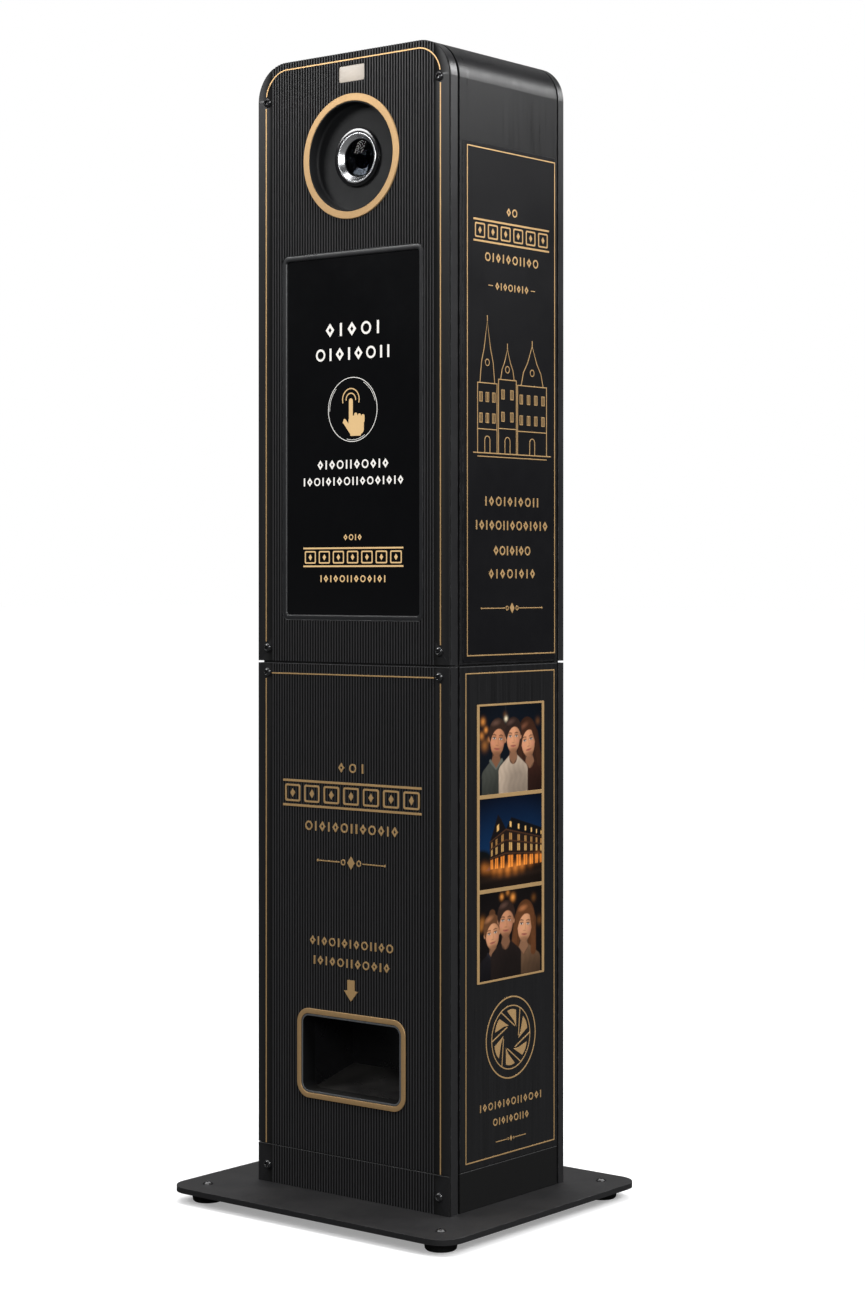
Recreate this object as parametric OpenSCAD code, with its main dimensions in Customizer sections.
// Slim two-module photo booth on a flat base plate.
// Upper module: camera, flash and portrait touch screen. Lower module: print outlet, printer and
// service door. The origin is on the floor at the centre of the base plate; the front faces -Y.

/* [Tower] */
// Width of the tower
body_w = 360; // [340:1:440]
// Depth of the tower, front plate to back flange
body_d = 270; // [262:1:330]
// Height of the tower above the base plate
body_h = 1644; // [1560:1:1980]
// Radius of the two rounded top edges
crown_r = 54; // [44:1:70]
// Height of the seam between the modules above the base plate
seam_z = 766; // [740:1:920]
// Width of the seam
seam_gap = 3; // [2:0.5:6]
// How far the tower's centre stands behind the centre of its base plate
body_shift = 13; // [0:1:30]

/* [Base] */
// Width of the base plate
plate_w = 524; // [470:1:640]
// Depth of the base plate
plate_d = 464; // [400:1:560]
// Thickness of the base plate
plate_t = 8; // [5:0.5:12]
// Corner radius of the base plate
plate_r = 36; // [10:1:60]
// Diameter of a rubber foot
foot_d = 48; // [30:1:60]
// Height of a rubber foot
foot_h = 16; // [12:1:30]
// Distance of each foot's centre from the plate's edges
foot_inset = 43; // [34:1:50]

/* [Sheet metal] */
// Thickness of the folded skins, cheeks and liners
skin_t = 2; // [1:0.25:3]
// Thickness of the reeded front plates
front_t = 3; // [2:0.5:5]
// Depth of the front rim band behind the front plate
front_rim = 16; // [12:1:24]
// Depth of the rear rim band
rear_rim = 12.5; // [10:0.5:20]
// Width of the front reveal between rim and side skin
front_reveal = 5; // [2:0.5:8]
// Width of the rear reveal between side skin and rim
rear_reveal = 4; // [2:0.5:8]
// Depth of both reveals
reveal_depth = 4; // [4:0.5:8]
// Thickness of the rims' screw flanges and of the floor and deck trays
flange_t = 3; // [2:0.5:5]
// Width of the front rims' screw flange
front_flange = 30; // [28:1:34]
// Width of the rear rims' screw flange
rear_flange = 45; // [42:1:50]
// Height of the kick strip
kick_h = 56; // [50:1:70]
// Width of the groove above the kick strip
kick_gap = 1.2; // [0.5:0.1:3]
// Height of the trays' side flanges
tray_lip = 20; // [12:1:30]
// Thickness of the side graphic panels
graphic_t = 1.2; // [0.8:0.1:2]
// Distance from the tower's top down to the upper graphic panels
graphic_drop = 137; // [110:1:180]

/* [Screws] */
// Diameter of a panel screw's head
screw_head_d = 11.5; // [9:0.5:14]
// Height of a panel screw's head
screw_head_h = 3.6; // [2.5:0.1:5]
// Diameter of a panel screw's shank
screw_d = 5; // [4:0.5:6]
// Distance of the panel screws from the tower's sides
screw_inset = 18; // [15:0.5:22]
// Distance from the tower's top down to the highest panel screws
top_screw_drop = 55; // [50:1:80]
// Diameter of the hexagon bolts that join the modules and the base
bolt_d = 8; // [6:1:10]

/* [Screen] */
// Width of the display window
screen_w = 250; // [200:1:254]
// Height of the display window
screen_h = 516; // [440:1:540]
// Width of the bezel round the display window
bezel_w = 8; // [5:0.5:12]
// Height of the bezel above the upper module's bottom edge
screen_lift = 60; // [40:1:90]
// Thickness of the cover glass
glass_t = 3.2; // [2:0.1:5]

/* [Camera] */
// Outer diameter of the lens ring
ring_d = 180; // [170:1:200]
// Diameter of the recessed dish inside the ring
dish_d = 155; // [140:1:162]
// Depth of the dish behind the front face
dish_depth = 16; // [12:1:24]
// Diameter of the lens barrel
barrel_d = 84; // [70:1:96]
// Distance from the tower's top down to the lens axis
lens_drop = 150; // [146:1:190]
// Width of the flash window
flash_w = 50; // [40:1:70]
// Height of the flash window
flash_h = 24; // [16:1:28]
// Distance from the tower's top down to the flash window's centre
flash_drop = 30.5; // [28:0.5:34]

/* [Print outlet] */
// Outer width of the outlet ring
outlet_w = 204; // [190:1:230]
// Outer height of the outlet ring
outlet_h = 130; // [110:1:150]
// Height of the outlet's centre above the base plate
outlet_z = 199; // [185:1:230]
// Width of the ring's band
outlet_band = 7.5; // [5:0.5:12]
// Depth of the collecting tray behind the front face
tray_depth = 112; // [96:1:130]

/* [Service] */
// Opening angle drawn for the service door
door_angle = 0; // [0:1:110]
// Height of the printer shelf above the base plate
shelf_z = 385; // [360:1:410]
// Width of the printer between its side plates' outer faces
printer_w = 210; // [200:1:240]
// Depth of the printer
printer_d = 158; // [150:1:162]
// Height of the printer
printer_h = 148; // [140:1:170]
// Diameter of a full paper roll
roll_d = 80; // [50:1:84]
// Width of the paper, the long side of a print
paper_w = 152; // [127:1:156]
// Diameter of the feed roller
feed_d = 18; // [14:1:22]
// Size of the square cooling fan
fan_size = 120; // [92:1:120]

/* [Hidden] */
$fn = 96;

// Colours
c_black = [0.09, 0.09, 0.095];
c_graphite = [0.15, 0.15, 0.16];
c_gold = [0.79, 0.63, 0.39];
c_steel = [0.62, 0.63, 0.65];
c_rubber = [0.05, 0.05, 0.05];
c_plastic = [0.12, 0.12, 0.13];
c_paper = [0.93, 0.92, 0.88];
c_ribbon = [0.2, 0.2, 0.45];

// Clearances
fit = 0.3;         // between separate pieces that lie in one another
run_fit = 0.05;    // radial, between a shaft or pin and its bore
thread_fit = 0.1;  // radial, between a screw and its hole
cut = 1;           // how far a cutting solid runs past the faces it opens

// Levels, measured from the base plate's top
deck_z = foot_h + plate_t;             // base plate's top above the floor
front_y = body_shift - body_d / 2;     // front face
half_w = body_w / 2;
lower_h = seam_z - seam_gap / 2;       // top of the lower module
upper_z = seam_z + seam_gap / 2;       // bottom of the upper module
side_y0 = front_t + front_rim + front_reveal;
side_y1 = body_d - rear_rim - rear_reveal;
rim_y1 = front_t + front_rim;
rear_y0 = body_d - rear_rim;
cheek_x = half_w - reveal_depth;       // outer face of cheeks and liner
inner_x = cheek_x - skin_t;            // inner face of cheeks and liner
cheek_y0 = front_t + flange_t;
cheek_y1 = body_d - flange_t;
shadow_w = 1;                          // shadow line between front plate and rim
shadow_in = 2;
kick_rail = 10;                        // rail on each side of the kick groove

// ---------------------------------------------------------------- helpers

// The tower's own frame: y = 0 on the front face, z = 0 on the base plate's top
module in_body() translate([0, front_y, deck_z]) children();

// A flat shape drawn in x and z, from y0 to y1
module slab(y0, y1) translate([0, y1, 0]) rotate([90, 0, 0]) linear_extrude(y1 - y0) children();

// A flat shape drawn in y and z, from x0 to x1
module side_slab(x0, x1) translate([x0, 0, 0]) rotate([90, 0, 90]) linear_extrude(x1 - x0) children();

// A solid of revolution whose axis runs along +Y
module turned() rotate([-90, 0, 0]) children();

module round_rect(w, h, r) {
    square([w - 2 * r, h], center = true);
    square([w, h - 2 * r], center = true);
    for (x = [-1, 1], y = [-1, 1]) translate([x * (w / 2 - r), y * (h / 2 - r)]) circle(r);
}

module round_block(w, d, h, r) linear_extrude(h) round_rect(w, d, r);

// The tower's arched outline in x and z, set in by an amount, with straight legs down to z_low
module crown(inset, z_low) {
    r = crown_r - inset;
    w = half_w - inset;
    top = body_h - inset;
    translate([-w, z_low]) square([2 * w, top - r - z_low]);
    translate([-w + r, z_low]) square([2 * (w - r), top - z_low]);
    for (side = [-1, 1]) translate([side * (w - r), top - r]) circle(r);
}

module outline(level, inset) {
    if (level == "lower")
        translate([-half_w + inset, inset]) square([body_w - 2 * inset, lower_h - 2 * inset]);
    else
        crown(inset, upper_z + inset);
}

module flat_slot(length, height) {
    square([length - height, height], center = true);
    for (x = [-1, 1]) translate([x * (length - height) / 2, 0]) circle(height / 2);
}

// Button-head socket screw along Z: the head stands on z = 0 and the shank runs down
module button_screw(head_d, head_h, shank_d, shank_l) {
    edge = head_h / 5;
    rise = head_h - edge;
    dome_r = (head_d * head_d / 4 + rise * rise) / (2 * rise);
    difference() {
        union() {
            intersection() {
                translate([0, 0, head_h - dome_r]) sphere(dome_r);
                cylinder(d = head_d, h = head_h);
            }
            translate([0, 0, -shank_l]) cylinder(d = shank_d, h = shank_l + edge);
        }
        translate([0, 0, head_h / 2]) cylinder(d = head_d / 2, h = head_h, $fn = 6);
    }
}

// ---------------------------------------------------------------- base

foot_screw_d = 8;
foot_screw_l = plate_t + foot_h / 2;

module at_feet()
    for (x = [-1, 1], y = [-1, 1])
        translate([x * (plate_w / 2 - foot_inset), y * (plate_d / 2 - foot_inset), 0]) children();

module at_bolts()
    for (x = [-1, 1], y = [rim_y1 + 28, rear_y0 - 34])
        translate([x * (inner_x - 36), y, 0]) children();

module base_plate() color(c_black) difference() {
    translate([0, 0, foot_h]) round_block(plate_w, plate_d, plate_t, plate_r);
    at_feet() translate([0, 0, foot_h - cut]) cylinder(d = foot_screw_d + 2 * fit, h = plate_t + 2 * cut);
    in_body() at_bolts() translate([0, 0, -plate_t - cut])
        cylinder(d = bolt_d + 2 * thread_fit, h = plate_t + 2 * cut);
}

module rubber_feet() color(c_rubber) at_feet() difference() {
    rotate_extrude() polygon([
        [0, 0], [foot_d / 2 - 4, 0], [foot_d / 2 - 2, 2], [foot_d / 2, foot_h - 1.5],
        [foot_d / 2 - 1.5, foot_h], [0, foot_h]
    ]);
    translate([0, 0, foot_h / 2 - 1]) cylinder(d = foot_screw_d + 2 * thread_fit, h = foot_h);
}

module foot_screws() color(c_black) at_feet() translate([0, 0, deck_z])
    button_screw(15, 4.2, foot_screw_d, foot_screw_l);

// Hexagon bolt along Z with its head on z = 0
module hex_bolt(shank_l) {
    cylinder(d = bolt_d * 1.8, h = bolt_d * 0.65, $fn = 6);
    translate([0, 0, -shank_l]) cylinder(d = bolt_d, h = shank_l + cut);
}

module hex_nut() difference() {
    cylinder(d = bolt_d * 1.8, h = bolt_d * 0.8, $fn = 6);
    translate([0, 0, -cut]) cylinder(d = bolt_d + 2 * thread_fit, h = bolt_d + 2 * cut);
}

module module_bolts() color(c_steel) in_body() at_bolts() {
    translate([0, 0, flange_t]) hex_bolt(flange_t + plate_t - 1);
    translate([0, 0, upper_z + flange_t]) hex_bolt(2 * flange_t + seam_gap + bolt_d);
    translate([0, 0, lower_h - flange_t - bolt_d * 0.8]) hex_nut();
}

// ---------------------------------------------------------------- frames and skins

// Folded tray between the cheeks; the lips stand up from z = 0 or hang down
module tray(lip_up) {
    z_lip = lip_up ? 0 : flange_t - tray_lip;
    difference() {
        union() {
            translate([-inner_x, rim_y1, 0]) cube([2 * inner_x, rear_y0 - rim_y1, flange_t]);
            for (x = [-inner_x, inner_x - skin_t])
                translate([x, rim_y1, z_lip]) cube([skin_t, rear_y0 - rim_y1, tray_lip]);
        }
        at_bolts() translate([0, 0, -cut]) cylinder(d = bolt_d + 2 * fit, h = flange_t + 2 * cut);
        translate([0, (rim_y1 + rear_y0) / 2, -cut]) cylinder(d = 60, h = flange_t + 2 * cut);
    }
}

module lower_floor() color(c_graphite) in_body() tray(true);
module lower_deck() color(c_graphite) in_body() translate([0, 0, lower_h - flange_t]) tray(false);
module upper_floor() color(c_graphite) in_body() translate([0, 0, upper_z]) tray(true);

module lower_cheeks() color(c_graphite) in_body() for (x = [-cheek_x, inner_x])
    translate([x, cheek_y0, skin_t]) cube([skin_t, cheek_y1 - cheek_y0, lower_h - 2 * skin_t]);

// Panel screws on the front face: [x, z]
screw_x = half_w - screw_inset;
screw_edge = 15.5;                     // screws above and below the seam
front_screw_levels = [kick_h / 2 - 3, lower_h - screw_edge, upper_z + screw_edge + 2,
                      body_h - top_screw_drop];

module at_front_screws(low, high)
    for (x = [-screw_x, screw_x], i = [low : high])
        translate([x, 0, front_screw_levels[i]]) rotate([90, 0, 0]) children();

module front_ring(level) difference() {
    union() {
        slab(front_t, front_t + shadow_w) outline(level, shadow_in);
        slab(front_t + shadow_w, rim_y1) outline(level, 0);
    }
    slab(front_t + flange_t, rim_y1 + cut) outline(level, skin_t);
    slab(front_t - cut, rim_y1 + cut) outline(level, front_flange);
}

module rear_ring(level) difference() {
    slab(rear_y0, body_d) outline(level, 0);
    slab(rear_y0 - cut, body_d - flange_t) outline(level, skin_t);
    slab(rear_y0 - cut, body_d + cut) outline(level, rear_flange);
}

module screw_bores(low, high, y1) at_front_screws(low, high)
    translate([0, 0, -y1]) cylinder(d = screw_d + 2 * thread_fit, h = y1 + cut);

module lower_front_frame() color(c_black) in_body() difference() {
    union() {
        front_ring("lower");
        slab(front_t, front_t + flange_t) translate([-half_w + front_flange - cut, kick_h - kick_rail])
            square([body_w - 2 * front_flange + 2 * cut, 2 * kick_rail]);
    }
    screw_bores(0, 1, cheek_y0 + cut);
}

// Cut-out for the combined mains inlet and switch in the rear kick rail
inlet_w = 52;
inlet_h = 27;
inlet_x = 92;
inlet_z = kick_h / 2 + 4;
rear_rail = kick_h + kick_rail;        // rear kick rail's top

module lower_rear_frame() color(c_black) in_body() difference() {
    union() {
        rear_ring("lower");
        slab(body_d - flange_t, body_d) translate([-half_w + rear_flange - cut, rear_flange - cut])
            square([body_w - 2 * rear_flange + 2 * cut, rear_rail - rear_flange + cut]);
    }
    slab(body_d - flange_t - cut, body_d + cut) translate([inlet_x, inlet_z])
        square([inlet_w + fit, inlet_h + fit], center = true);
}

module upper_front_frame() color(c_black) in_body() difference() {
    front_ring("upper");
    slab(front_t - cut, rim_y1 - skin_t) translate([0, body_h - flash_drop])
        square([flash_w + 2 * flash_lip + 8, flash_h + 2 * flash_lip + 6], center = true);
    screw_bores(2, 3, cheek_y0 + cut);
}

module upper_rear_frame() color(c_black) in_body() difference() {
    rear_ring("upper");
    at_rear_screws() translate([0, 0, -flange_t - cut])
        cylinder(d = screw_d + 2 * thread_fit, h = flange_t + 2 * cut);
}

// Channel-section side skin on the right, between two heights
module side_skin(z_low, z_high) difference() {
    side_slab(cheek_x, half_w) translate([side_y0, z_low]) square([side_y1 - side_y0, z_high - z_low]);
    side_slab(cheek_x - cut, half_w - skin_t) translate([side_y0 + skin_t, z_low - cut])
        square([side_y1 - side_y0 - 2 * skin_t, z_high - z_low + 2 * cut]);
}

module lower_side_right() color(c_black) in_body() side_skin(kick_h + kick_gap, lower_h);
module lower_side_left() color(c_black) in_body() mirror([1, 0, 0]) side_skin(kick_h + kick_gap, lower_h);

module kick_strips() color(c_black) in_body() {
    difference() {
        slab(0, front_t) translate([-half_w, 0]) square([body_w, kick_h]);
        screw_bores(0, 0, front_t + cut);
    }
    side_skin(0, kick_h);
    mirror([1, 0, 0]) side_skin(0, kick_h);
}

module upper_liner() color(c_graphite) in_body() difference() {
    slab(cheek_y0, cheek_y1) crown(reveal_depth, upper_z + skin_t);
    slab(cheek_y0 - cut, cheek_y1 + cut) crown(reveal_depth + skin_t, upper_z);
}

module upper_wrap() color(c_black) in_body() difference() {
    slab(side_y0, side_y1) crown(0, upper_z);
    slab(side_y0 + skin_t, side_y1 - skin_t) crown(skin_t, upper_z - cut);
    slab(side_y0 - cut, side_y1 + cut) crown(reveal_depth, upper_z - cut);
}

graphic_margin = 6;
module graphic_panel() side_slab(half_w, half_w + graphic_t)
    translate([(side_y0 + side_y1) / 2, (upper_z + body_h - graphic_drop) / 2])
        round_rect(side_y1 - side_y0 - 2 * graphic_margin,
                   body_h - graphic_drop - upper_z - graphic_margin, 3);

module graphic_right() color(c_black) in_body() graphic_panel();
module graphic_left() color(c_black) in_body() mirror([1, 0, 0]) graphic_panel();

gasket_w = 24;
module seam_gasket() color(c_rubber) in_body() translate([0, body_d / 2, lower_h]) difference() {
    round_block(body_w - 2 * reveal_depth, body_d - 2 * reveal_depth, seam_gap, 6);
    translate([0, 0, -cut]) round_block(body_w - 2 * reveal_depth - 2 * gasket_w,
        body_d - 2 * reveal_depth - 2 * gasket_w, seam_gap + 2 * cut, 3);
}

// ---------------------------------------------------------------- front plates

lens_z = body_h - lens_drop;
flash_z = body_h - flash_drop;
bezel_out_w = screen_w + 2 * bezel_w;
bezel_out_h = screen_h + 2 * bezel_w;
bezel_r = 12;
bezel_z = upper_z + screen_lift + bezel_out_h / 2;
flash_lip = 4;
flash_r = 4;
collar_t = 2.2;                        // wall of the ring's collar in the front plate
liner_t = 3;
outlet_r = 22;
outlet_in_w = outlet_w - 2 * outlet_band;
outlet_in_h = outlet_h - 2 * outlet_band;
outlet_in_r = outlet_r - outlet_band;

module upper_front_panel() color(c_black) in_body() difference() {
    slab(0, front_t) outline("upper", 0);
    slab(-cut, front_t + cut) translate([0, bezel_z])
        round_rect(bezel_out_w + 2 * fit, bezel_out_h + 2 * fit, bezel_r);
    slab(-cut, front_t + cut) translate([0, flash_z]) round_rect(flash_w, flash_h, flash_r);
    translate([0, -cut, lens_z]) turned() cylinder(d = dish_d + 2 * collar_t + fit, h = front_t + 2 * cut);
    screw_bores(2, 3, front_t + cut);
}

module lower_front_panel() color(c_black) in_body() difference() {
    slab(0, front_t) translate([-half_w, kick_h + kick_gap]) square([body_w, lower_h - kick_h - kick_gap]);
    slab(-cut, front_t + cut) translate([0, outlet_z]) round_rect(outlet_in_w, outlet_in_h, outlet_in_r);
    screw_bores(1, 1, front_t + cut);
}

// Rear screws: six hold the upper rear panel, four hold the fan behind it
rear_screw_x = half_w - rear_flange / 2;
rear_screw_levels = [upper_z + 40, (upper_z + body_h) / 2, body_h - 84];
fan_z = body_h - 190;
fan_hole = 0.4375;                     // a fan's hole pitch is 0.875 of its size
rear_t = 2;

module at_rear_screws() for (x = [-rear_screw_x, rear_screw_x], z = rear_screw_levels)
    translate([x, body_d, z]) rotate([-90, 0, 0]) children();

module at_fan_screws() for (x = [-1, 1], z = [-1, 1])
    translate([x * fan_hole * fan_size, body_d, fan_z + z * fan_hole * fan_size])
        rotate([-90, 0, 0]) children();

screw_l = 11;
module panel_screws() color(c_black) in_body() {
    at_front_screws(0, 3) button_screw(screw_head_d, screw_head_h, screw_d, screw_l);
    at_rear_screws() translate([0, 0, rear_t]) button_screw(screw_head_d, screw_head_h, screw_d, screw_l);
    at_fan_screws() translate([0, 0, rear_t]) button_screw(screw_head_d, screw_head_h, screw_d, screw_l);
}

// ---------------------------------------------------------------- screen

bezel_face = 0.5;                      // bezel's face behind the front face
glass_y = front_t + 0.6;
bezel_back = glass_y + glass_t + 3;
bezel_flange = 9;
bezel_rebate = 4;
display_t = 17;
display_y = glass_y + glass_t;
display_back = display_y + display_t;
screen_r = 6;
glass_r = 4;
driver_w = 150;                        // housing of the display's electronics, on its back
driver_h = 90;
driver_t = 12;
driver_drop = 60;
panel_w = screen_w + 2 * bezel_rebate - fit;
panel_h = screen_h + 2 * bezel_rebate - fit;

module screen_bezel() color(c_graphite) in_body() translate([0, 0, bezel_z]) difference() {
    union() {
        slab(bezel_face, front_t + cut) round_rect(bezel_out_w, bezel_out_h, bezel_r);
        slab(front_t, bezel_back)
            round_rect(bezel_out_w + 2 * bezel_flange, bezel_out_h + 2 * bezel_flange, screen_r);
    }
    slab(0, bezel_back + cut) round_rect(screen_w, screen_h, screen_r);
    slab(glass_y, bezel_back + cut)
        round_rect(screen_w + 2 * bezel_rebate, screen_h + 2 * bezel_rebate, glass_r + fit);
}

module cover_glass() color([0.02, 0.02, 0.03]) in_body() translate([0, 0, bezel_z])
    slab(glass_y, display_y) round_rect(panel_w, panel_h, glass_r);

module display_module() color(c_plastic) in_body() translate([0, 0, bezel_z]) {
    slab(display_y, display_back) round_rect(panel_w, panel_h, glass_r);
    slab(display_back - cut, display_back + driver_t) translate([0, -driver_drop])
        square([driver_w, driver_h], center = true);
}

// Two channel bars carry the display between the liner's walls
bar_h = 30;
bar_d = 16;
bar_levels = [bezel_z + 40, bezel_z + bezel_out_h / 2 - 50];
module display_brackets() color(c_steel) in_body() for (z = bar_levels) difference() {
    side_slab(-inner_x, inner_x) translate([display_back, z]) square([bar_d, bar_h]);
    side_slab(-inner_x - cut, inner_x + cut) translate([display_back + skin_t, z + skin_t])
        square([bar_d, bar_h - 2 * skin_t]);
}

// ---------------------------------------------------------------- camera and flash

ring_proud = 2;
barrel_face = dish_depth - 4;
well_t = 2;
neck_d = barrel_d - 8;
camera_y = dish_depth + well_t + 12;
trim_out_d = barrel_d - 12;
trim_in_d = 56;
trim_t = 2.7;
trim_step = 0.3;                       // trim's face behind the barrel's face
lens_d = 55;
lens_t = 6;
lens_r = 90;                           // radius of the glass's domed front
lens_y = barrel_face + 5;

module lens_ring() color(c_gold) in_body() translate([0, 0, lens_z]) turned() rotate_extrude() polygon([
    [dish_d / 2, -ring_proud + 0.5], [dish_d / 2 + 0.5, -ring_proud], [ring_d / 2 - 0.5, -ring_proud],
    [ring_d / 2, -ring_proud + 0.5], [ring_d / 2, 0], [dish_d / 2 + collar_t, 0],
    [dish_d / 2 + collar_t, front_t], [dish_d / 2, front_t]
]);

module camera_well() color(c_rubber) in_body() translate([0, 0, lens_z]) turned() rotate_extrude() polygon([
    [dish_d / 2, front_t], [dish_d / 2 + 15, front_t], [dish_d / 2 + 15, front_t + well_t],
    [dish_d / 2 + well_t, front_t + well_t], [dish_d / 2 + well_t, dish_depth + well_t],
    [neck_d / 2 + fit, dish_depth + well_t], [neck_d / 2 + fit, dish_depth], [dish_d / 2, dish_depth]
]);

module lens_barrel() color(c_black) in_body() translate([0, 0, lens_z]) turned() rotate_extrude() polygon([
    [trim_out_d / 2, barrel_face], [barrel_d / 2 - 1, barrel_face], [barrel_d / 2, barrel_face + 1],
    [barrel_d / 2, dish_depth], [neck_d / 2, dish_depth], [neck_d / 2, camera_y],
    [lens_d / 2 - 3, camera_y], [lens_d / 2 - 3, lens_y + lens_t], [lens_d / 2, lens_y + lens_t],
    [lens_d / 2, barrel_face + trim_step + trim_t], [trim_out_d / 2, barrel_face + trim_step + trim_t]
]);

module lens_trim() color([0.85, 0.86, 0.88]) in_body()
    translate([0, barrel_face + trim_step, lens_z]) turned() difference() {
        cylinder(d = trim_out_d - 2 * run_fit, h = trim_t);
        translate([0, 0, -cut]) cylinder(d = trim_in_d, h = trim_t + 2 * cut);
    }

module lens_glass() color([0.1, 0.13, 0.2]) in_body()
    translate([0, lens_y, lens_z]) turned() intersection() {
        cylinder(d = lens_d - 2 * run_fit, h = lens_t);
        translate([0, 0, lens_r]) sphere(lens_r);
    }

// Camera body with four posts that carry it on the dish's floor
camera_w = 112;
camera_h = 104;
camera_d = 52;
module camera_body() color(c_plastic) in_body() translate([0, 0, lens_z]) {
    difference() {
        slab(camera_y, camera_y + camera_d) round_rect(camera_w, camera_h, 8);
        slab(camera_y + camera_d - 3, camera_y + camera_d + cut)
            square([camera_w - 32, camera_h - 34], center = true);
    }
    for (x = [-1, 1], z = [-1, 1])
        translate([x * (camera_w / 2 - 11), dish_depth + well_t, z * (camera_h / 2 - 10)])
            turned() cylinder(d = 9, h = camera_y - dish_depth - well_t + cut);
}

module flash_window() color([0.98, 0.94, 0.86]) in_body() translate([0, 0, flash_z]) {
    slab(front_t, front_t + window_t) round_rect(flash_w + 2 * flash_lip, flash_h + 2 * flash_lip, flash_r);
    slab(front_t - 1, front_t + cut) round_rect(flash_w - fit, flash_h - fit, flash_r - fit / 2);
}

// Lamp box behind the flash window, with cooling fins along its back
fin_n = 8;
fin_d = 7;
window_t = 2;
lamp_t = 10;
module flash_housing() color(c_steel) in_body() translate([0, 0, flash_z - 1]) {
    lamp_y = front_t + window_t;
    slab(lamp_y, lamp_y + lamp_t) square([flash_w + 2 * flash_lip, flash_h + flash_lip], center = true);
    for (i = [0 : fin_n - 1])
        translate([(i - (fin_n - 1) / 2) * flash_w / fin_n, lamp_y + lamp_t + (fin_d - cut) / 2, 0])
            cube([1.5, fin_d + cut, flash_h + flash_lip], center = true);
}

// ---------------------------------------------------------------- print outlet

liner_y = 26;
ring_lift = 2;
drop_y = 12;                           // front sheet of the drop chute
chute_r = 54;                          // guide that turns a print downwards
chute_back = drop_y + chute_r;
sheet_t = 1.5;
tray_w = outlet_in_w - 2 * liner_t;
tray_low = outlet_z - outlet_in_h / 2 + liner_t;   // inner floor at the outlet's lip
tray_top = outlet_z + outlet_in_h / 2;
tray_rise = 22;
exit_z = shelf_z + flange_t + 58;      // height at which a print leaves the printer

module outlet_ring() color(c_gold) in_body() translate([0, 0, outlet_z]) difference() {
    slab(-ring_lift, 0) round_rect(outlet_w, outlet_h, outlet_r);
    slab(-ring_lift - cut, cut) round_rect(outlet_in_w, outlet_in_h, outlet_in_r);
}

module outlet_liner() color(c_black) in_body() translate([0, 0, outlet_z]) difference() {
    union() {
        slab(-1, liner_y) round_rect(outlet_in_w - fit, outlet_in_h - fit, outlet_in_r);
        slab(front_t, front_t + 2) round_rect(outlet_w, outlet_h, outlet_r);
    }
    slab(-1 - cut, liner_y + cut) round_rect(tray_w, outlet_in_h - 2 * liner_t, outlet_in_r - liner_t);
}

// Bent sheet of the tray in y and z: floor, back, slope and rear wall of the chute
module tray_sheet() polygon([
    [liner_y, tray_low], [tray_depth, tray_low + tray_rise], [tray_depth, tray_top - 16],
    [chute_back, tray_top + 30], [chute_back, shelf_z],
    [chute_back + sheet_t, shelf_z], [chute_back + sheet_t, tray_top + 31],
    [tray_depth + sheet_t, tray_top - 15], [tray_depth + sheet_t, tray_low + tray_rise - sheet_t],
    [liner_y, tray_low - sheet_t]
]);

// Front sheet of the chute: straight, then a quarter turn back over the printer's exit
module guide_sheet() {
    turn_z = exit_z + 12 - chute_r;
    translate([drop_y, tray_top + fit]) square([sheet_t, turn_z - tray_top - fit]);
    intersection() {
        difference() {
            translate([drop_y + chute_r, turn_z]) circle(chute_r);
            translate([drop_y + chute_r, turn_z]) circle(chute_r - sheet_t);
        }
        translate([drop_y, turn_z]) square([chute_r - 2, chute_r]);
    }
}

module tray_cheek() {
    polygon([
        [liner_y, tray_low - sheet_t], [tray_depth, tray_low + tray_rise - sheet_t],
        [tray_depth, tray_top - 16], [chute_back, tray_top + 30], [chute_back, shelf_z],
        [drop_y + sheet_t / 2, shelf_z], [drop_y + sheet_t / 2, tray_top + fit], [liner_y, tray_top + fit]
    ]);
    translate([drop_y + sheet_t / 2, shelf_z - cut])
        square([chute_back - 4 - drop_y - sheet_t / 2, exit_z - chute_r + 12 - shelf_z + cut]);
}

module print_tray() color(c_black) in_body() {
    side_slab(-tray_w / 2 - sheet_t, tray_w / 2 + sheet_t) {
        tray_sheet();
        guide_sheet();
    }
    for (x = [-tray_w / 2 - sheet_t, tray_w / 2]) side_slab(x, x + sheet_t) tray_cheek();
}

// ---------------------------------------------------------------- service door

door_t = 3;
door_y = body_d + 0.5;
hinge_x = -half_w + 30;
hinge_y = door_y + door_t + 1;
knuckle_r = 4;
pin_r = 1.5;
leaf_t = 1.5;
hinge_l = 80;
knuckle_l = 25;
door_x0 = hinge_x + knuckle_r + 1;
door_x1 = half_w - 15;
door_z0 = rear_rail - 14 + 18;
door_z1 = lower_h - 20;
lock_x = half_w - rear_flange - 17;
lock_z = 300;
lock_r = 8;
plug_r = 5;
hinge_end = 60;                        // from the door's ends to its hinges
rib_in = 30;                           // stiffening rib's distance from the hinge axis
rib_d = 9;
rib_w = lock_x - 14 - hinge_x - rib_in;
rib_z = rear_rail + 14;
rib_h = door_z1 - 41 - rib_z;
vent_pitch = 14;
vent_h = 6;
vent_w = 120;

module on_door() translate([hinge_x, hinge_y, 0]) rotate([0, 0, door_angle])
    translate([-hinge_x, -hinge_y, 0]) children();

module at_hinges() for (z = [door_z0 + hinge_end, door_z1 - hinge_end - hinge_l])
    translate([hinge_x, hinge_y, z]) children();

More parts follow.
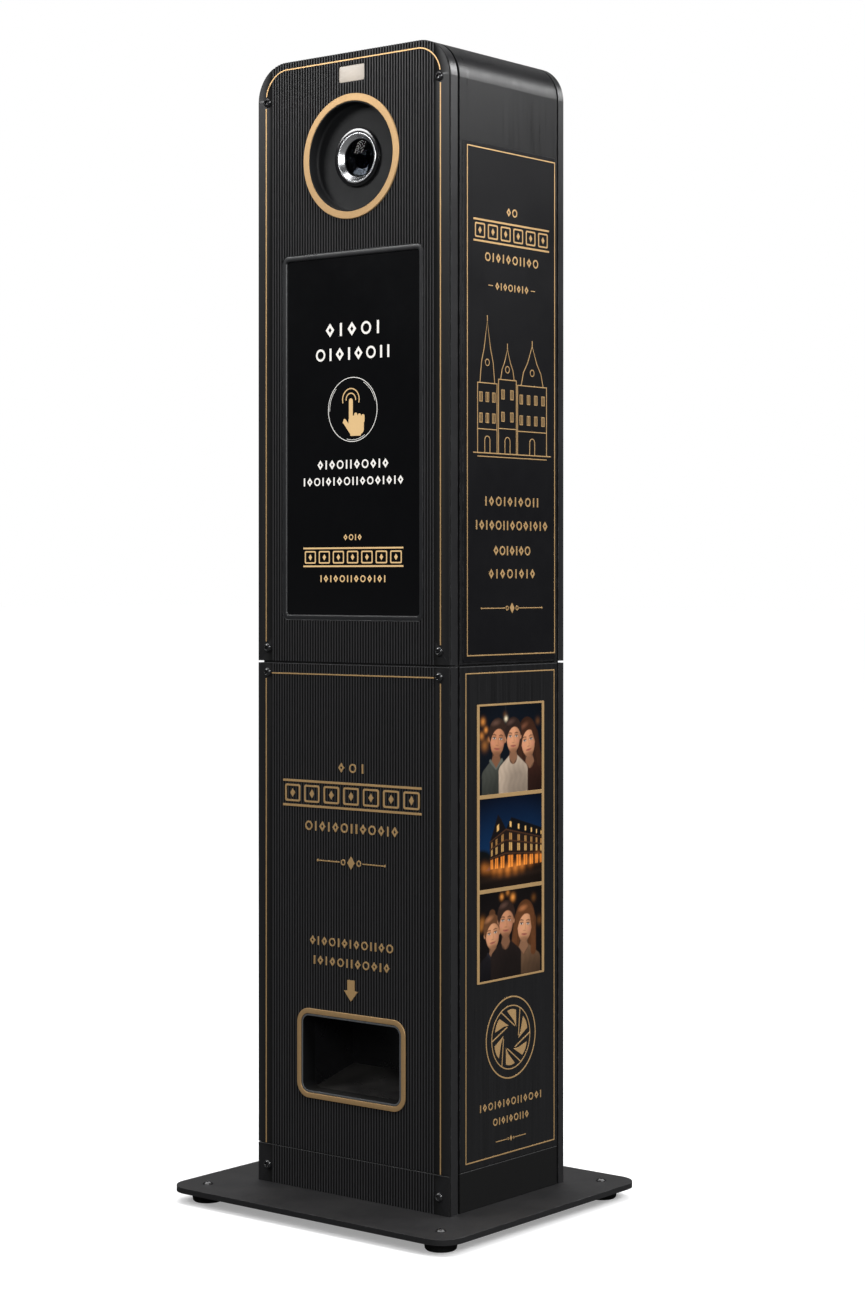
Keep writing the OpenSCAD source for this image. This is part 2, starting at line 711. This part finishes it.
module rear_door() color(c_black) in_body() on_door() difference() {
    union() {
        slab(door_y, door_y + door_t)
            translate([door_x0, door_z0]) square([door_x1 - door_x0, door_z1 - door_z0]);
        // Stiffening rib that stands into the doorway
        slab(door_y - rib_d, door_y + cut) translate([hinge_x + rib_in, rib_z]) difference() {
            square([rib_w, rib_h]);
            translate([skin_t, skin_t]) square([rib_w - 2 * skin_t, rib_h - 2 * skin_t]);
        }
    }
    translate([lock_x, door_y - cut, lock_z]) turned()
        cylinder(r = lock_r + thread_fit, h = door_t + 2 * cut);
    // Ventilation slots
    for (z0 = [rib_z + 46, door_z1 - 130], i = [0 : 4])
        slab(door_y - cut, door_y + door_t + cut)
            translate([0, z0 + i * vent_pitch]) flat_slot(vent_w, vent_h);
}

// Fixed leaves, one plate and two knuckles each
module hinge_leaves() color(c_steel) in_body() at_hinges() difference() {
    union() {
        for (z = [0, hinge_l - knuckle_l]) {
            translate([0, 0, z]) cylinder(r = knuckle_r, h = knuckle_l);
            translate([-6, body_d - hinge_y, z]) cube([6, leaf_t, knuckle_l]);
        }
        translate([-26, body_d - hinge_y, 0]) cube([26 - knuckle_r - 1, leaf_t, hinge_l]);
    }
    translate([0, 0, -cut]) cylinder(r = pin_r + run_fit, h = hinge_l + 2 * cut);
}

// Moving straps, one plate and one knuckle each
module hinge_straps() color(c_steel) in_body() on_door() at_hinges() difference() {
    strap_y = door_y + door_t - hinge_y;
    union() {
        translate([0, 0, knuckle_l + fit]) {
            cylinder(r = knuckle_r, h = hinge_l - 2 * knuckle_l - 2 * fit);
            translate([0, strap_y, 0]) cube([8, leaf_t, hinge_l - 2 * knuckle_l - 2 * fit]);
        }
        translate([knuckle_r + 2, strap_y, 0]) cube([26, leaf_t, hinge_l]);
    }
    translate([0, 0, -cut]) cylinder(r = pin_r + run_fit, h = hinge_l + 2 * cut);
}

module hinge_pins() color(c_steel) in_body() at_hinges() {
    cylinder(r = pin_r, h = hinge_l + cut);
    translate([0, 0, hinge_l]) cylinder(r = knuckle_r - 1, h = leaf_t);
}

module lock_housing() color(c_steel) in_body() on_door() translate([lock_x, 0, lock_z]) difference() {
    union() {
        translate([0, door_y - 4.5, 0]) turned() cylinder(r = lock_r, h = door_t + 5);
        translate([0, door_y + door_t, 0]) turned() cylinder(r = lock_r + 3, h = 2);
        translate([0, door_y - 4, 0]) turned() cylinder(r = lock_r + 4, h = 4, $fn = 6);
    }
    translate([0, door_y - 6, 0]) turned() cylinder(r = plug_r + run_fit, h = door_t + 10);
}

// Key plug with its cam, drawn unlocked: the cam points up
module lock_cam() color(c_gold) in_body() on_door() translate([lock_x, 0, lock_z]) difference() {
    union() {
        translate([0, door_y - 5.5, 0]) turned() cylinder(r = plug_r, h = door_t + 8);
        slab(door_y - 7, door_y - 5) {
            circle(7);
            translate([-5, 0]) square([10, 26]);
        }
    }
    slab(door_y + door_t + 1, door_y + door_t + 4) square([1.2, 6], center = true);
}

// ---------------------------------------------------------------- mains inlet and supply

socket_w = 24.5;
socket_h = 16.6;
socket_x = -11;
rocker_x = 16;
rocker_half = 8.5;
rocker_pin_r = 1.2;
rocker_tilt = 8;
pivot_y = 0;                           // rocker's pivot on the inlet's face plane
socket_depth = 15;
key_cut = 4;                           // chamfers at the socket's top corners
rocker_w = 12;
inlet_face = 2.5;

module mains_inlet() color(c_plastic) in_body() translate([inlet_x, body_d, inlet_z]) {
    difference() {
        union() {
            slab(0, inlet_face) round_rect(inlet_w + 10, inlet_h + 6, 3);
            slab(-28, cut) square([inlet_w - fit, inlet_h - fit], center = true);
        }
        slab(inlet_face - socket_depth, inlet_face + cut) translate([socket_x, 0]) polygon([
            [-socket_w / 2, -socket_h / 2], [socket_w / 2, -socket_h / 2],
            [socket_w / 2, socket_h / 2 - key_cut], [socket_w / 2 - key_cut, socket_h / 2],
            [-socket_w / 2 + key_cut, socket_h / 2], [-socket_w / 2, socket_h / 2 - key_cut]
        ]);
        slab(-8, inlet_face + cut) translate([rocker_x, 0])
            square([2 * rocker_half + 2, rocker_w + 1], center = true);
        translate([rocker_x, pivot_y, -9]) cylinder(r = rocker_pin_r + run_fit, h = 18);
    }
    // Contact blades
    for (x = [-7, 0, 7]) slab(inlet_face - socket_depth - cut, inlet_face - 4)
        translate([socket_x + x, x == 0 ? 2 : -2]) square([2, 4], center = true);
}

module rocker_switch() color([0.6, 0.1, 0.08]) in_body()
    translate([inlet_x + rocker_x, body_d + pivot_y, inlet_z]) rotate([0, 0, -rocker_tilt]) {
        translate([0, 0, -rocker_w / 2]) linear_extrude(rocker_w) polygon([
            [-rocker_half, 0], [-rocker_half, inlet_face + 2.2], [0, inlet_face + 1],
            [rocker_half, inlet_face + 2.2], [rocker_half, 0], [3, -5], [-3, -5]
        ]);
        translate([0, 0, -8.5]) cylinder(r = rocker_pin_r, h = 17);
    }

// Power supply on the floor tray, with vents in its front and a terminal shelf at its back
psu_w = 120;
psu_d = 84;
psu_h = 38;
psu_x = -130;
vent_n = 9;
psu_y = rear_y0 - psu_d - 24;
vent_d = 6;
module power_supply() color(c_steel) in_body() translate([psu_x, psu_y, flange_t]) difference() {
    cube([psu_w, psu_d, psu_h]);
    for (i = [1 : vent_n])
        translate([(i * psu_w - vent_d) / (vent_n + 1), -cut, psu_h / 3]) cube([vent_d, vent_d, psu_h / 2]);
    translate([vent_d, psu_d - vent_d, psu_h / 2])
        cube([psu_w - 2 * vent_d, vent_d + cut, psu_h / 2 + cut]);
}

// ---------------------------------------------------------------- printer

printer_y = chute_back + 4;
shelf_y0 = chute_back - 2;
shelf_y1 = printer_y + printer_d + 12;
wall_t = 3;
printer_z = shelf_z + flange_t;        // printer's underside
roller_z = exit_z - printer_z;
feed_y = 38;
pinch_d = 14;
head_y = feed_y + feed_d / 2 + 3;
head_t = 12;
nip = 0.4;                             // paper's room between the rollers
exit_h = 10;
pinch_z = roller_z + feed_d / 2 + nip + pinch_d / 2;
axle_d = 10;
roll_y = printer_d - roll_d / 2 - 10;
roll_z = roll_d / 2 + 12;
spool_d = 28;
supply_y = 96;
takeup_y = 26;
spool_z = printer_h - spool_d / 2 - 12;
half_p = printer_w / 2;
lid_pin_r = 2.5;
lid_y = 9;
lid_z = printer_h - 9;
lid_t = 2.5;
plate_top = printer_h - lid_t - 0.5;   // top of the printer's side plates

module in_printer() in_body() translate([0, printer_y, printer_z]) children();

// A roller along X: two shaft ends carried in the side plates and a body between them
module roller(y, z, drum_d, drum_w, shaft_d) translate([0, y, z]) {
    translate([-half_p + 0.5, 0, 0]) rotate([0, 90, 0]) cylinder(d = shaft_d, h = printer_w - 1);
    translate([-drum_w / 2, 0, 0]) rotate([0, 90, 0]) cylinder(d = drum_d, h = drum_w);
}

module shaft_bore(y, z, shaft_d) translate([-half_p - cut, y, z]) rotate([0, 90, 0])
    cylinder(d = shaft_d + 2 * run_fit, h = printer_w + 2 * cut);

module printer_shelf() color(c_graphite) in_body() {
    translate([-inner_x, shelf_y0, shelf_z]) cube([2 * inner_x, shelf_y1 - shelf_y0, flange_t]);
    for (x = [-inner_x, inner_x - skin_t])
        translate([x, shelf_y0, shelf_z]) cube([skin_t, shelf_y1 - shelf_y0, tray_lip]);
}

module printer_base() color(c_plastic) in_printer() difference() {
    union() {
        translate([-half_p, 0, 0]) cube([printer_w, printer_d, wall_t]);
        for (x = [-half_p, half_p - wall_t]) side_slab(x, x + wall_t) {
            square([printer_d, lid_z]);
            translate([lid_y, 0]) square([printer_d - lid_y, plate_top]);
            translate([lid_y, lid_z]) circle(plate_top - lid_z);
        }
        translate([-half_p, 0, 0]) cube([printer_w, wall_t, printer_h - 20]);
    }
    // Exit slot for the print
    translate([-paper_w / 2 - 6, -cut, roller_z + feed_d / 2 - exit_h / 2])
        cube([paper_w + 12, wall_t + 2 * cut, exit_h]);
    shaft_bore(feed_y, roller_z, 8);
    shaft_bore(feed_y, pinch_z, 6);
    shaft_bore(roll_y, roll_z, axle_d);
    shaft_bore(supply_y, spool_z, 8);
    shaft_bore(takeup_y, spool_z, 8);
    shaft_bore(lid_y, lid_z, 2 * lid_pin_r);
}

// Hinged lid: top, rear wall and two side lips with pivot stubs
module printer_lid() color(c_graphite) in_printer() {
    lip_x = half_p + 0.5;
    lid_l = printer_d + 0.5 + lid_t - lid_y;
    rear_h = printer_h - wall_t - 40;
    translate([-lip_x - skin_t, lid_y, printer_h - lid_t]) cube([2 * (lip_x + skin_t), lid_l, lid_t]);
    translate([-lip_x - skin_t, printer_d + 0.5, printer_h - rear_h])
        cube([2 * (lip_x + skin_t), lid_t, rear_h]);
    for (side = [0, 1]) mirror([side, 0, 0]) {
        side_slab(lip_x, lip_x + skin_t) {
            translate([lid_y, printer_h - 16]) square([lid_l, 16]);
            translate([lid_y, lid_z]) circle(7);
        }
        translate([half_p - wall_t, lid_y, lid_z]) rotate([0, 90, 0])
            cylinder(r = lid_pin_r, h = wall_t + 1.5);
    }
}

module paper_roll() color(c_paper) in_printer() {
    roller(roll_y, roll_z, roll_d, paper_w, axle_d);
    for (x = [-paper_w / 2 - flange_t, paper_w / 2])
        translate([x, roll_y, roll_z]) rotate([0, 90, 0]) cylinder(d = roll_d * 0.42, h = flange_t);
}

module feed_roller() color(c_rubber) in_printer() roller(feed_y, roller_z, feed_d, paper_w + 4, 8);
module pinch_roller() color(c_steel) in_printer() roller(feed_y, pinch_z, pinch_d, paper_w + 4, 6);
module ribbon_supply() color(c_ribbon) in_printer() roller(supply_y, spool_z, spool_d, paper_w + 8, 8);
module ribbon_takeup() color(c_ribbon) in_printer() roller(takeup_y, spool_z, spool_d - 6, paper_w + 8, 8);

// Thermal head on a carrier that spans the side plates
module print_head() color(c_steel) in_printer() {
    translate([-half_p + wall_t, head_y, roller_z + 10]) cube([printer_w - 2 * wall_t, head_t, 18]);
    translate([-paper_w / 2 - 2, head_y, roller_z + 2]) cube([paper_w + 4, head_t - 3, 9]);
}

// ---------------------------------------------------------------- computer, rear panel and fan

pc_w = 132;
pc_d = 128;
pc_h = 44;
port_w = 14;
module mini_pc() color(c_plastic) in_body() translate([0, rear_y0 - pc_d / 2 - 48, upper_z + flange_t])
    difference() {
        round_block(pc_w, pc_d, pc_h, 8);
        for (i = [-1.5 : 1.5]) translate([i * 26 - port_w / 2, pc_d / 2 - 4, 12]) cube([port_w, 10, 7]);
    }

// Plate that overlaps the rear rim's flange, with slots in front of the fan and at its foot
rear_in = 10;
fan_slots = 4;                         // slots above and below the fan's middle one
module upper_rear_panel() color(c_graphite) in_body() difference() {
    pitch = fan_size / (2 * fan_slots + 3);
    slab(body_d, body_d + rear_t) crown(rear_in, upper_z + rear_in);
    for (i = [-fan_slots : fan_slots]) slab(body_d - cut, body_d + rear_t + cut)
        translate([0, fan_z + i * pitch])
            flat_slot(0.9 * sqrt(pow(fan_size, 2) - pow(2.2 * i * pitch, 2)), vent_h);
    for (i = [0 : 5]) slab(body_d - cut, body_d + rear_t + cut)
        translate([0, upper_z + 60 + i * vent_pitch]) flat_slot(vent_w, vent_h);
    at_rear_screws() translate([0, 0, -cut]) cylinder(d = screw_d + 2 * fit, h = rear_t + 2 * cut);
    at_fan_screws() translate([0, 0, -cut]) cylinder(d = screw_d + 2 * fit, h = rear_t + 2 * cut);
}

fan_t = 25;
hub_r = 20;
fan_pin_r = 2;
module fan_frame() color(c_plastic) in_body() translate([0, 0, fan_z]) {
    difference() {
        slab(body_d - fan_t, body_d) round_rect(fan_size, fan_size, 5);
        translate([0, body_d - fan_t - cut, 0]) turned() cylinder(d = fan_size - 5, h = fan_t + 2 * cut);
        for (x = [-1, 1], z = [-1, 1])
            translate([x * fan_hole * fan_size, body_d - fan_t - cut, z * fan_hole * fan_size])
                turned() cylinder(d = screw_d + 2 * thread_fit, h = fan_t + 2 * cut);
    }
    // Motor seat on four arms, with the bearing for the rotor's shaft
    difference() {
        union() {
            slab(body_d - fan_t, body_d - fan_t + 3) {
                circle(hub_r);
                for (a = [45, 135]) rotate(a) square([fan_size - 3, 5], center = true);
            }
            translate([0, body_d - fan_t + 1, 0]) turned() cylinder(r = 6, h = 8);
        }
        translate([0, body_d - fan_t + 2, 0]) turned() cylinder(r = fan_pin_r + run_fit, h = 10);
    }
}

blade_n = 7;
blade_t = 1.8;
blade_pitch = 38;
module fan_rotor() color(c_black) in_body() translate([0, 0, fan_z]) {
    rotor_y0 = body_d - fan_t + 4;
    rotor_y1 = body_d - 3;
    difference() {
        translate([0, rotor_y0, 0]) turned() cylinder(r = hub_r, h = rotor_y1 - rotor_y0);
        translate([0, rotor_y0 - cut, 0]) turned() cylinder(r = hub_r - 2, h = rotor_y1 - rotor_y0 - 2);
    }
    translate([0, body_d - fan_t + 3, 0]) turned()
        cylinder(r = fan_pin_r, h = rotor_y1 - body_d + fan_t - 4);
    intersection() {
        translate([0, rotor_y0 + 1, 0]) turned() difference() {
            cylinder(d = fan_size - 9, h = rotor_y1 - rotor_y0 - 2);
            translate([0, 0, -cut]) cylinder(r = hub_r - 1, h = fan_t);
        }
        for (i = [0 : blade_n - 1]) rotate([0, i * 360 / blade_n, 0])
            translate([0, (rotor_y0 + rotor_y1) / 2, 0]) rotate([0, 0, blade_pitch])
                translate([-hub_r, -blade_t / 2, 0]) cube([2 * hub_r, blade_t, fan_size]);
    }
}

// ---------------------------------------------------------------- output

base_plate();
rubber_feet();
foot_screws();
module_bolts();
lower_floor();
lower_cheeks();
lower_deck();
lower_front_frame();
lower_rear_frame();
lower_side_left();
lower_side_right();
kick_strips();
lower_front_panel();
outlet_ring();
outlet_liner();
print_tray();
rear_door();
hinge_leaves();
hinge_straps();
hinge_pins();
lock_housing();
lock_cam();
mains_inlet();
rocker_switch();
power_supply();
printer_shelf();
printer_base();
printer_lid();
paper_roll();
feed_roller();
pinch_roller();
ribbon_supply();
ribbon_takeup();
print_head();
seam_gasket();
upper_floor();
upper_liner();
upper_front_frame();
upper_rear_frame();
upper_wrap();
graphic_left();
graphic_right();
upper_front_panel();
panel_screws();
screen_bezel();
cover_glass();
display_module();
display_brackets();
lens_ring();
camera_well();
lens_barrel();
lens_trim();
lens_glass();
camera_body();
flash_window();
flash_housing();
mini_pc();
upper_rear_panel();
fan_frame();
fan_rotor();
